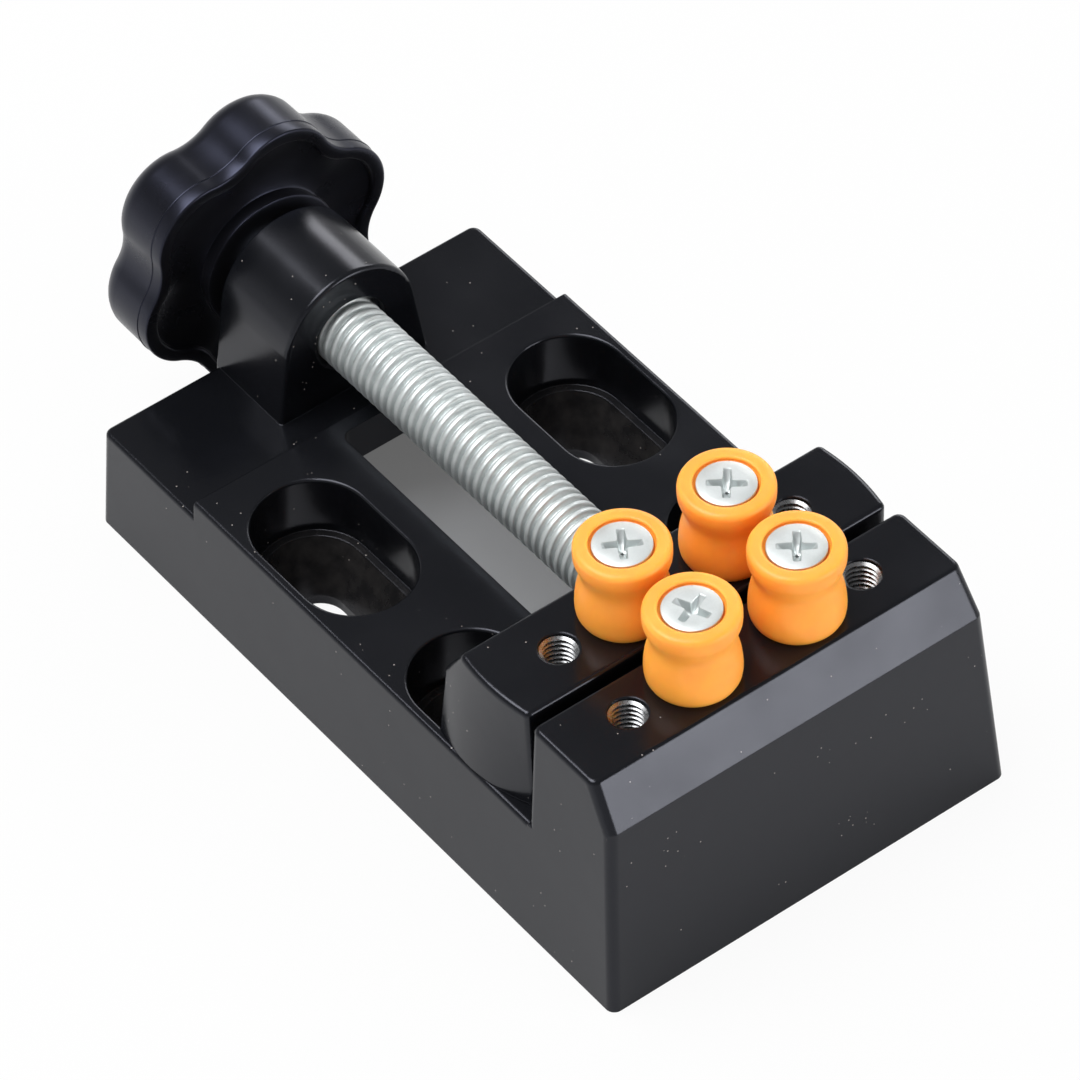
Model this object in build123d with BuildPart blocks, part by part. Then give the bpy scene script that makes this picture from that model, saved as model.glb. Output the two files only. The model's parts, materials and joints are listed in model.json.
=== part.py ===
from build123d import *
import os
from math import acos, asin, atan2, cos, degrees, pi, radians, sin, sqrt, tan

# Mini bench vise.
# Frame: the origin is the centre of the four bench bolt holes, on the bench surface.
# +X runs along the lead screw from the knob to the fixed jaw, +Y across the jaws, +Z up.
# Left is +Y and right is -Y, as seen from the knob.

# Body casting
base_length = 107.5
base_width = 62.0
front_reach = 53.15
bed_height = 18.5
platform_height = 15.8
platform_length = 20.55
jaw_height = 35.1
fixed_jaw_depth = 17.85
side_draft = 4.2
front_draft = 4.2
rear_draft = 2.0
front_bevel_run = 3.8
front_bevel_drop = 6.1
corner_radius = 1.3
jaw_corner_radius = 1.2
top_edge_radius = 0.7
bed_edge_radius = 0.6

# Rails, slot and the channel under them
slot_width = 16.4
slot_rear_gap = 2.1
slot_front_gap = 1.4
slot_corner_radius = 1.5
channel_width = 22.0
channel_height = 12.5
channel_rear_wall = 8.0

# Pockets for the bench bolts, open right through and narrowing below a ledge
pocket_length = 25.2
pocket_pitch = 33.0
pocket_side_wall = 2.8
pocket_inner_wall = 1.6
pocket_ledge_depth = 9.0
pocket_ledge_width = 1.1
pocket_narrowing = 2.9
pocket_land = 1.5
pocket_rim_radius = 0.4

# Boss
screw_height = 25.2
boss_diameter = 20.4
boss_foot_width = 23.3
boss_length = 14.1
boss_rear_inset = 0.35
boss_edge_radius = 0.6
boss_bore_chamfer = 0.7

# Moving jaw
jaw_gap = 1.6
moving_jaw_length = 17.9
moving_jaw_side_inset = 0.1
moving_jaw_end_draft = 3.8
end_foot_radius = 23.5
end_foot_peak = 10.2
end_top_radius = 33.0
end_top_peak = 7.2
moving_jaw_back_draft = 4.2
back_bevel_run = 4.1
back_bevel_drop = 6.0
moving_corner_radius = 0.9
slide_clearance = 0.1
tongue_side_clearance = 0.2
tongue_length = 13.6
tongue_front_inset = 1.8

# Tapped holes in the jaw tops, thread M5
tap_diameter = 5.0
tap_mouth_diameter = 5.3
tap_mouth_angle = 90.0
tap_depth = 12.0
tap_inner_spacing = 16.0
tap_outer_spacing = 36.0
moving_tap_inset = 6.4
fixed_tap_inset = 5.5

# Lead screw, thread M10
lead_diameter = 9.6
lead_pitch = 1.5
lead_thread_depth = 0.65
bore_clearance = 0.08
thread_entry = 3.0
shoulder_clearance = 0.05
neck_diameter = 7.8
neck_length = 11.2
neck_bore_clearance = 0.08
neck_bore_end_gap = 0.4
neck_edge_chamfer = 0.6
groove_diameter = 5.8
groove_from_shoulder = 3.3
screw_head_flats = 17.0
screw_head_height = 6.4

# Retaining screw, thread M4 with a dog point
retaining_diameter = 3.9
retaining_length = 7.0
dog_diameter = 2.5
dog_length = 2.6
dog_clearance = 0.1
retaining_hole_clearance = 0.05
hex_socket_flats = 2.0
hex_socket_depth = 2.0

# Keeper plate, its screws (thread M3) and washers
keeper_width = 21.0
keeper_thickness = 2.5
keeper_corner_radius = 1.0
keeper_screw_spacing = 9.6
keeper_screw_diameter = 2.9
keeper_thread_length = 6.5
keeper_tap_spare = 0.4
keeper_hole_clearance = 0.2
keeper_tap_clearance = 0.05
keeper_head_diameter = 5.6
keeper_head_height = 1.9
keeper_head_edge_radius = 0.7
keeper_cross_width = 0.8
keeper_cross_length = 3.2
keeper_cross_depth = 1.1
washer_diameter = 7.0
washer_thickness = 0.5

# Star knob
knob_gap = 2.8
knob_lobes = 6
knob_valley_diameter = 34.0
knob_lobe_height = 2.55
knob_lobe_setback = 0.35
knob_thickness = 10.8
knob_hub_diameter = 20.2
knob_hub_height = 2.3
knob_hub_draft = 4.0
knob_rim_width = 2.0
knob_recess_depth = 0.9
knob_front_radius = 3.4
knob_rim_radius = 0.6
knob_turn = 14.3
knob_fit_clearance = 0.1
cap_diameter = 22.0
cap_thickness = 1.8
cap_crown = 0.5

# Spool pegs
peg_height = 11.9
peg_foot_diameter = 11.0
peg_base_diameter = 12.0
peg_base_height = 1.5
peg_waist_diameter = 10.4
peg_waist_height = 6.6
peg_top_diameter = 12.2
peg_top_height = 9.9
peg_edge_radius = 0.6
peg_recess_diameter = 8.3
peg_recess_depth = 0.25
peg_bore_clearance = 0.2
peg_seat_clearance = 0.1

# Peg screws, thread M5, countersunk head
peg_screw_length = 20.0
peg_screw_diameter = 4.9
peg_thread_pitch = 0.8
peg_thread_depth = 0.43
peg_head_diameter = 7.7
peg_head_edge = 0.4
peg_head_cone = 1.4
cross_width = 1.1
cross_length = 4.4
cross_depth = 1.5
cross_draft = 12.0

# How far a cut runs past the face it opens
overrun = 1.0

# Places worked out from the sizes above
rear_x = front_reach - base_length
step_x = rear_x + platform_length
fixed_face_x = front_reach - fixed_jaw_depth
bevel_foot_height = jaw_height - front_bevel_drop
bevel_foot_x = front_reach - bevel_foot_height * tan(radians(front_draft))
bevel_top_x = bevel_foot_x - front_bevel_run
rear_top_x = rear_x + platform_height * tan(radians(rear_draft))
half_width_bed = base_width / 2 - bed_height * tan(radians(side_draft))
half_width_top = base_width / 2 - jaw_height * tan(radians(side_draft))

slot_rear_x = step_x + slot_rear_gap
slot_front_x = fixed_face_x - slot_front_gap
slot_middle_x = (slot_rear_x + slot_front_x) / 2
slot_length = slot_front_x - slot_rear_x
channel_rear_x = rear_x + channel_rear_wall
channel_middle_x = (channel_rear_x + slot_front_x) / 2
channel_length = slot_front_x - channel_rear_x

pocket_outer_y = base_width / 2 - pocket_side_wall
pocket_inner_y = channel_width / 2 + pocket_inner_wall
pocket_width = pocket_outer_y - pocket_inner_y
pocket_spacing = pocket_outer_y + pocket_inner_y
ledge_height = bed_height - pocket_ledge_depth
funnel_height = ledge_height - pocket_land
funnel_taper = degrees(atan2(pocket_narrowing, funnel_height))

boss_rear_x = rear_x + boss_rear_inset
boss_front_x = boss_rear_x + boss_length
lead_bore_radius = lead_diameter / 2 + bore_clearance

moving_face_x = fixed_face_x - jaw_gap
moving_bottom = bed_height + slide_clearance
moving_rear_x = moving_face_x - moving_jaw_length
back_bevel_foot_height = jaw_height - back_bevel_drop
back_lean = (back_bevel_foot_height - moving_bottom) * tan(radians(moving_jaw_back_draft))
back_bevel_foot_x = moving_rear_x + back_lean
back_bevel_top_x = back_bevel_foot_x + back_bevel_run
moving_foot_half = half_width_bed - moving_jaw_side_inset
moving_top_half = moving_foot_half - (jaw_height - moving_bottom) * tan(radians(moving_jaw_end_draft))
tongue_width = slot_width - 2 * tongue_side_clearance
tongue_front_x = moving_face_x - tongue_front_inset
tongue_middle_x = tongue_front_x - tongue_length / 2
tongue_bottom = channel_height - slide_clearance
keeper_bottom = tongue_bottom - keeper_thickness
washer_bottom = keeper_bottom - washer_thickness

moving_tap_x = moving_face_x - moving_tap_inset
fixed_tap_x = fixed_face_x + fixed_tap_inset
tap_rows = [side * spacing / 2 for spacing in (tap_outer_spacing, tap_inner_spacing) for side in (-1, 1)]

screw_face_lean = (screw_height - moving_bottom) * tan(radians(moving_jaw_back_draft))
screw_face_x = moving_rear_x + screw_face_lean
shoulder_x = screw_face_x + thread_entry
neck_end_x = shoulder_x + neck_length
neck_bore_radius = neck_diameter / 2 + neck_bore_clearance
groove_width = dog_diameter + 2 * dog_clearance
groove_x = shoulder_x + groove_from_shoulder
retaining_x = groove_x + groove_width / 2
dog_top = screw_height - groove_diameter / 2 - dog_clearance

hub_front_x = boss_rear_x - knob_gap
knob_web_x = hub_front_x - knob_hub_height
knob_rim_x = knob_web_x + knob_recess_depth
knob_front_x = knob_rim_x - knob_thickness
cap_seat_x = knob_front_x + cap_thickness
head_seat_x = cap_seat_x + screw_head_height

peg_head_top = peg_height - peg_recess_depth
peg_cone_slope = (peg_head_diameter - peg_screw_diameter) / 2 / peg_head_cone

screw_plane = Plane(origin=(0, 0, screw_height), x_dir=(0, 1, 0), z_dir=(1, 0, 0))
screw_section = Plane(origin=(0, 0, screw_height), x_dir=(1, 0, 0), z_dir=(0, -1, 0))

os.makedirs("parts", exist_ok=True)


def uprights(part):
    """The edges of a casting that rise from its foot."""
    return part.edges().filter_by(GeomType.LINE).filter_by(lambda edge: abs(edge.tangent_at(0.5).Z) > 0.7)


def thread_outline(start, end, radius, depth, pitch):
    """Crests and roots of a thread from start to end, drawn as rings one pitch apart."""
    crest = pitch / 8
    turns = int((end - start) / pitch)
    lead_in = (end - start - turns * pitch) / 2
    points = [(start, radius - depth)]
    for turn in range(turns):
        foot = start + lead_in + turn * pitch
        points.append((foot + crest, radius - depth))
        points.append((foot + pitch / 2 - crest / 2, radius))
        points.append((foot + pitch / 2 + crest / 2, radius))
        points.append((foot + pitch - crest, radius - depth))
    points.append((end, radius - depth))
    return points


def tapped_row(x, top):
    """Places of the four tapped holes in a jaw's top."""
    return [Location((x, y, top)) for y in tap_rows]


def bulging_plan(half_width, peak, radius):
    """Plan of the moving jaw: its ends bulge outwards, furthest at a distance behind its face."""
    peak_x = moving_face_x - peak
    arcs = []
    for x in (moving_rear_x - overrun, peak_x, moving_face_x + overrun):
        arcs.append((x, half_width - radius + sqrt(radius**2 - (x - peak_x) ** 2)))
    opposite = [(x, -y) for x, y in arcs]
    with BuildLine() as plan:
        ThreePointArc(*arcs)
        ThreePointArc(*opposite)
        Line(arcs[0], opposite[0])
        Line(arcs[2], opposite[2])
    make_face(plan.edges())


def jaw_ends(part):
    """The edges that rise along the ends of the moving jaw."""
    return part.edges().filter_by(
        lambda edge: abs(edge.center().Y) > tap_outer_spacing / 2 and abs(edge.tangent_at(0.5).Z) > 0.7
    )


# Body casting: side outline, drawn out over the width and then narrowed by the draft of the sides
with BuildPart() as vise_body:
    with BuildSketch(Plane.XZ):
        with BuildLine():
            Polyline(
                (rear_x, 0),
                (front_reach, 0),
                (bevel_foot_x, bevel_foot_height),
                (bevel_top_x, jaw_height),
                (fixed_face_x, jaw_height),
                (fixed_face_x, bed_height),
                (step_x, bed_height),
                (step_x, platform_height),
                (rear_top_x, platform_height),
                close=True,
            )
        make_face()
    extrude(amount=base_width / 2, both=True)
    with BuildSketch(Plane.YZ.offset(rear_x - overrun)):
        with BuildLine():
            Polyline(
                (-base_width / 2, 0),
                (base_width / 2, 0),
                (half_width_top, jaw_height),
                (-half_width_top, jaw_height),
                close=True,
            )
        make_face()
    extrude(amount=base_length + 2 * overrun, mode=Mode.INTERSECT)

    corners = uprights(vise_body)
    outer_corners = corners.filter_by(lambda edge: edge.center().X < rear_x + platform_length / 2)
    outer_corners += corners.filter_by(lambda edge: edge.center().X > bevel_top_x)
    fillet(outer_corners, radius=corner_radius)
    inner_corners = uprights(vise_body).filter_by(lambda edge: abs(edge.center().X - fixed_face_x) < overrun)
    fillet(inner_corners, radius=jaw_corner_radius)

    # Long edges of the bed, the platform and the fixed jaw
    jaw_rim = vise_body.edges().filter_by(lambda edge: edge.center().Z > jaw_height - top_edge_radius / 2)
    fillet(jaw_rim, radius=top_edge_radius)
    with BuildSketch(Plane.YZ.offset(step_x)):
        with Locations((0, bed_height)):
            Rectangle(base_width, bed_edge_radius, align=(Align.CENTER, Align.MAX))
        with BuildLine() as bed_outline:
            Polyline(
                (-base_width / 2, 0),
                (base_width / 2, 0),
                (half_width_bed, bed_height),
                (-half_width_bed, bed_height),
                close=True,
            )
            fillet(bed_outline.vertices().group_by(Axis.Y)[-1], radius=bed_edge_radius)
        make_face(mode=Mode.SUBTRACT)
    extrude(amount=fixed_face_x - step_x, mode=Mode.SUBTRACT)
    platform_rim = vise_body.edges().filter_by(
        lambda edge: edge.center().X < step_x - overrun / 2
        and platform_height - overrun / 2 < edge.center().Z < platform_height + overrun / 2
    )
    fillet(platform_rim, radius=bed_edge_radius)

    # Boss: an arch about the screw, standing on the platform
    foot_drop = screw_height - platform_height
    foot_distance = sqrt((boss_foot_width / 2) ** 2 + foot_drop**2)
    foot_angle = atan2(foot_drop, boss_foot_width / 2)
    touch_angle = acos(boss_diameter / 2 / foot_distance) - foot_angle
    touch_y = boss_diameter / 2 * cos(touch_angle)
    touch_z = boss_diameter / 2 * sin(touch_angle)
    with BuildSketch(screw_plane.offset(boss_rear_x)):
        with BuildLine():
            Polyline(
                (-touch_y, touch_z),
                (-boss_foot_width / 2, -foot_drop),
                (-boss_foot_width / 2, -foot_drop - overrun),
                (boss_foot_width / 2, -foot_drop - overrun),
                (boss_foot_width / 2, -foot_drop),
                (touch_y, touch_z),
            )
            ThreePointArc((touch_y, touch_z), (0, boss_diameter / 2), (-touch_y, touch_z))
        make_face()
    extrude(amount=boss_length)
    boss_front = vise_body.edges().filter_by(
        lambda edge: abs(edge.center().X - boss_front_x) < overrun / 10
        and edge.center().Z > platform_height + overrun
    )
    fillet(boss_front, radius=boss_edge_radius)

    # Slot between the rails, and the channel under rails and platform in which the keeper plate runs
    with BuildSketch(Plane.XY):
        with Locations((slot_middle_x, 0)):
            RectangleRounded(slot_length, slot_width, slot_corner_radius)
    extrude(amount=bed_height + overrun, mode=Mode.SUBTRACT)
    with BuildSketch(Plane.XY):
        with Locations((channel_middle_x, 0)):
            RectangleRounded(channel_length, channel_width, slot_corner_radius)
    extrude(amount=channel_height, mode=Mode.SUBTRACT)

    # Pockets: deep cups down to a narrow ledge, then a funnel and a short straight slot through the foot
    with BuildSketch(Plane.XY.offset(ledge_height)):
        with GridLocations(pocket_pitch, pocket_spacing, 2, 2):
            SlotOverall(pocket_length, pocket_width)
    extrude(amount=pocket_ledge_depth + overrun, mode=Mode.SUBTRACT)
    funnel_inset = pocket_ledge_width + pocket_narrowing
    with BuildSketch(Plane.XY.offset(ledge_height)):
        with GridLocations(pocket_pitch, pocket_spacing, 2, 2):
            SlotOverall(pocket_length - 2 * pocket_ledge_width, pocket_width - 2 * pocket_ledge_width)
    extrude(amount=-funnel_height, taper=funnel_taper, mode=Mode.SUBTRACT)
    with BuildSketch(Plane.XY.offset(ledge_height)):
        with GridLocations(pocket_pitch, pocket_spacing, 2, 2):
            SlotOverall(pocket_length - 2 * funnel_inset, pocket_width - 2 * funnel_inset)
    extrude(amount=-ledge_height - overrun, mode=Mode.SUBTRACT)
    pocket_rims = vise_body.edges().filter_by(
        lambda edge: abs(edge.center().Z - bed_height) < overrun / 10
        and pocket_spacing / 2 - pocket_width / 2 - overrun / 10 < abs(edge.center().Y)
        and abs(edge.center().Y) < pocket_spacing / 2 + pocket_width / 2 + overrun / 10
        and edge.center().X > step_x + overrun
        and edge.center().X < fixed_face_x - overrun
    )
    fillet(pocket_rims, radius=pocket_rim_radius)

    # Bore for the lead screw through the boss
    with BuildSketch(screw_plane.offset(boss_rear_x - overrun)):
        Circle(lead_bore_radius)
    extrude(amount=boss_length + 2 * overrun, mode=Mode.SUBTRACT)
    bore_mouth = vise_body.edges().filter_by(GeomType.CIRCLE)
    bore_mouth = bore_mouth.filter_by(lambda edge: abs(edge.radius - lead_bore_radius) < overrun / 100)
    chamfer(bore_mouth, length=boss_bore_chamfer)

    with Locations(*tapped_row(fixed_tap_x, jaw_height)):
        CounterSinkHole(
            tap_diameter / 2,
            tap_mouth_diameter / 2,
            depth=tap_depth,
            counter_sink_angle=tap_mouth_angle,
        )
vise_body.part.label = "vise_body"
export_step(vise_body.part, "parts/vise_body.step")

# Moving jaw: block with a bevelled back, its ends and back leaning in, and the tongue that runs in the slot
with BuildPart() as moving_jaw:
    with BuildSketch(Plane.XZ):
        with BuildLine():
            Polyline(
                (moving_rear_x, moving_bottom),
                (moving_face_x, moving_bottom),
                (moving_face_x, jaw_height),
                (back_bevel_top_x, jaw_height),
                (back_bevel_foot_x, back_bevel_foot_height),
                close=True,
            )
        make_face()
    extrude(amount=base_width / 2, both=True)
    with BuildSketch(Plane.XY.offset(moving_bottom)):
        bulging_plan(moving_foot_half, end_foot_peak, end_foot_radius)
    with BuildSketch(Plane.XY.offset(jaw_height)):
        bulging_plan(moving_top_half, end_top_peak, end_top_radius)
    loft(ruled=True, mode=Mode.INTERSECT)
    fillet(jaw_ends(moving_jaw), radius=moving_corner_radius)
    jaw_top = moving_jaw.edges().filter_by(lambda edge: edge.center().Z > jaw_height - top_edge_radius / 2)
    fillet(jaw_top, radius=top_edge_radius)

    with BuildSketch(Plane.XY.offset(tongue_bottom)):
        with Locations((tongue_middle_x, 0)):
            RectangleRounded(tongue_length, tongue_width, slot_corner_radius)
    extrude(amount=moving_bottom - tongue_bottom + overrun)

    with BuildSketch(screw_plane.offset(neck_end_x + neck_bore_end_gap)):
        Circle(neck_bore_radius)
    extrude(amount=-moving_jaw_length, mode=Mode.SUBTRACT)
    with BuildSketch(screw_plane.offset(shoulder_x + shoulder_clearance)):
        Circle(lead_bore_radius)
    extrude(amount=-thread_entry - overrun, mode=Mode.SUBTRACT)
    with BuildSketch(Plane.XY.offset(tongue_bottom)):
        with Locations((retaining_x, 0)):
            Circle(retaining_diameter / 2 + retaining_hole_clearance)
    extrude(amount=screw_height - tongue_bottom, mode=Mode.SUBTRACT)
    with BuildSketch(Plane.XY.offset(tongue_bottom)):
        with Locations((tongue_middle_x, 0)):
            with GridLocations(0, keeper_screw_spacing, 1, 2):
                Circle(keeper_screw_diameter / 2 + keeper_tap_clearance)
    extrude(amount=keeper_thread_length + keeper_tap_spare, mode=Mode.SUBTRACT)
    with Locations(*tapped_row(moving_tap_x, jaw_height)):
        CounterSinkHole(
            tap_diameter / 2,
            tap_mouth_diameter / 2,
            depth=tap_depth,
            counter_sink_angle=tap_mouth_angle,
        )
moving_jaw.part.label = "moving_jaw"
export_step(moving_jaw.part, "parts/moving_jaw.step")

# Keeper plate: lies under both rails and holds the moving jaw down
with BuildPart() as keeper_plate:
    with BuildSketch(Plane.XY.offset(keeper_bottom)):
        with Locations((tongue_middle_x, 0)):
            RectangleRounded(tongue_length, keeper_width, keeper_corner_radius)
            with GridLocations(0, keeper_screw_spacing, 1, 2):
                Circle(keeper_screw_diameter / 2 + keeper_hole_clearance, mode=Mode.SUBTRACT)
    extrude(amount=keeper_thickness)
keeper_plate.part.label = "keeper_plate"
export_step(keeper_plate.part, "parts/keeper_plate.step")

# Keeper screws, pan head with a cross recess, and their washers
for side_name, side in (("left", 1), ("right", -1)):
    keeper_y = side * keeper_screw_spacing / 2
    with BuildPart() as keeper_washer:
        with BuildSketch(Plane.XY.offset(washer_bottom)):
            with Locations((tongue_middle_x, keeper_y)):
                Circle(washer_diameter / 2)
                Circle(keeper_screw_diameter / 2 + keeper_hole_clearance, mode=Mode.SUBTRACT)
        extrude(amount=washer_thickness)
    keeper_washer.part.label = "keeper_washer_" + side_name
    export_step(keeper_washer.part, "parts/keeper_washer_" + side_name + ".step")

    with BuildPart() as keeper_screw:
        with BuildSketch(Plane.XY.offset(washer_bottom)):
            with Locations((tongue_middle_x, keeper_y)):
                Circle(keeper_head_diameter / 2)
        extrude(amount=-keeper_head_height)
        fillet(keeper_screw.edges().group_by(Axis.Z)[0], radius=keeper_head_edge_radius)
        with BuildSketch(Plane.XY.offset(washer_bottom)):
            with Locations((tongue_middle_x, keeper_y)):
                Circle(keeper_screw_diameter / 2)
        extrude(amount=washer_thickness + keeper_thickness + keeper_thread_length)
        with BuildSketch(Plane.XY.offset(washer_bottom - keeper_head_height)):
            with Locations((tongue_middle_x, keeper_y)):
                Rectangle(keeper_cross_length, keeper_cross_width)
                Rectangle(keeper_cross_width, keeper_cross_length)
        extrude(amount=keeper_cross_depth, mode=Mode.SUBTRACT)
    keeper_screw.part.label = "keeper_screw_" + side_name
    export_step(keeper_screw.part, "parts/keeper_screw_" + side_name + ".step")

# Retaining screw: stands under the neck of the lead screw, its dog point in the neck's groove
with BuildPart() as retaining_screw:
    with BuildSketch(Plane.XY.offset(dog_top - dog_length - retaining_length)):
        with Locations((retaining_x, 0)):
            Circle(retaining_diameter / 2)
    extrude(amount=retaining_length)
    with BuildSketch(Plane.XY.offset(dog_top - dog_length)):
        with Locations((retaining_x, 0)):
            Circle(dog_diameter / 2)
    extrude(amount=dog_length)
    with BuildSketch(Plane.XY.offset(dog_top - dog_length - retaining_length)):
        with Locations((retaining_x, 0)):
            RegularPolygon(hex_socket_flats / 2, 6, major_radius=False)
    extrude(amount=hex_socket_depth, mode=Mode.SUBTRACT)
retaining_screw.part.label = "retaining_screw"
export_step(retaining_screw.part, "parts/retaining_screw.step")

# Lead screw: hexagonal head in the knob, thread through the boss, grooved neck in the moving jaw
with BuildPart() as lead_screw:
    lead_radius = lead_diameter / 2
    neck_radius = neck_diameter / 2
    with BuildSketch(screw_section):
        with BuildLine():
            Polyline(
                (head_seat_x, 0),
                (head_seat_x, lead_radius),
                (hub_front_x, lead_radius),
                *thread_outline(hub_front_x, shoulder_x, lead_radius, lead_thread_depth, lead_pitch),
                (shoulder_x, neck_radius),
                (groove_x, neck_radius),
                (groove_x, groove_diameter / 2),
                (groove_x + groove_width, groove_diameter / 2),
                (groove_x + groove_width, neck_radius),
                (neck_end_x - neck_edge_chamfer, neck_radius),
                (neck_end_x, neck_radius - neck_edge_chamfer),
                (neck_end_x, 0),
                close=True,
            )
        make_face()
    revolve(axis=Axis((0, 0, screw_height), (1, 0, 0)))
    with BuildSketch(screw_plane.offset(head_seat_x)):
        RegularPolygon(screw_head_flats / 2, 6, major_radius=False)
    extrude(amount=-screw_head_height)
lead_screw.part.label = "lead_screw"
export_step(lead_screw.part, "parts/lead_screw.step")

# Star knob: lobes and valleys are tangent arcs about the screw
valley_floor = knob_valley_diameter / 2
knob_tip = valley_floor + knob_lobe_height
half_lobe = pi / knob_lobes
knob_lobe_radius = valley_floor * sin(half_lobe) - knob_lobe_setback
lobe_centre = knob_tip - knob_lobe_radius
valley_reach = lobe_centre**2 + valley_floor**2 - 2 * lobe_centre * valley_floor * cos(half_lobe)
valley_radius = (valley_reach - knob_lobe_radius**2) / (
    2 * knob_lobe_radius - 2 * valley_floor + 2 * lobe_centre * cos(half_lobe)
)
valley_centre = valley_floor + valley_radius


def around(distance, angle):
    """The point at a distance from the screw's axis and an angle about it."""
    return (distance * cos(angle), distance * sin(angle))


with BuildPart() as star_knob:
    with BuildSketch(screw_plane.offset(knob_rim_x)) as knob_outline:
        with BuildLine():
            for lobe in range(knob_lobes):
                tip_angle = radians(knob_turn) + lobe * 2 * half_lobe
                tip_y, tip_z = around(lobe_centre, tip_angle)
                joins = []
                for turn in (-1, 1):
                    floor_y, floor_z = around(valley_centre, tip_angle + turn * half_lobe)
                    share = knob_lobe_radius / (knob_lobe_radius + valley_radius)
                    joins.append((tip_y + (floor_y - tip_y) * share, tip_z + (floor_z - tip_z) * share))
                ThreePointArc(joins[0], around(knob_tip, tip_angle), joins[1])
                next_tip_angle = tip_angle + 2 * half_lobe
                next_y, next_z = around(lobe_centre, next_tip_angle)
                next_join = (next_y + (floor_y - next_y) * share, next_z + (floor_z - next_z) * share)
                ThreePointArc(joins[1], around(valley_floor, tip_angle + half_lobe), next_join)
        make_face()
    extrude(amount=-knob_thickness)
    fillet(star_knob.faces().sort_by(Axis.X)[0].edges(), radius=knob_front_radius)
    fillet(star_knob.faces().sort_by(Axis.X)[-1].edges(), radius=knob_rim_radius)
    with BuildSketch(screw_plane.offset(knob_rim_x)):
        add(knob_outline.sketch_local)
        offset(amount=-knob_rim_width, kind=Kind.ARC, mode=Mode.REPLACE)
    extrude(amount=-knob_recess_depth, mode=Mode.SUBTRACT)
    with BuildSketch(screw_plane.offset(hub_front_x)):
        Circle(knob_hub_diameter / 2)
    extrude(amount=-knob_hub_height - overrun, taper=knob_hub_draft)
    with BuildSketch(screw_plane.offset(hub_front_x)):
        Circle(lead_diameter / 2 + knob_fit_clearance)
    extrude(amount=head_seat_x - hub_front_x, mode=Mode.SUBTRACT)
    with BuildSketch(screw_plane.offset(head_seat_x)):
        RegularPolygon(screw_head_flats / 2 + knob_fit_clearance, 6, major_radius=False)
    extrude(amount=-screw_head_height - cap_thickness, mode=Mode.SUBTRACT)
    with BuildSketch(screw_plane.offset(cap_seat_x)):
        Circle(cap_diameter / 2 + knob_fit_clearance)
    extrude(amount=-cap_thickness - overrun, mode=Mode.SUBTRACT)
star_knob.part.label = "star_knob"
export_step(star_knob.part, "parts/star_knob.step")

# Knob cap: a slightly crowned disc over the screw's head
crown_radius = ((cap_diameter / 2) ** 2 + cap_crown**2) / (2 * cap_crown)
crown_angle = asin(cap_diameter / 2 / crown_radius) / 2
crown_centre_x = knob_front_x - cap_crown + crown_radius
with BuildPart() as knob_cap:
    with BuildSketch(screw_section):
        with BuildLine():
            Polyline(
                (knob_front_x - cap_crown, 0),
                (cap_seat_x, 0),
                (cap_seat_x, cap_diameter / 2),
                (knob_front_x, cap_diameter / 2),
            )
            ThreePointArc(
                (knob_front_x, cap_diameter / 2),
                (crown_centre_x - crown_radius * cos(crown_angle), crown_radius * sin(crown_angle)),
                (knob_front_x - cap_crown, 0),
            )
        make_face()
    revolve(axis=Axis((0, 0, screw_height), (1, 0, 0)))
knob_cap.part.label = "knob_cap"
export_step(knob_cap.part, "parts/knob_cap.step")

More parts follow.
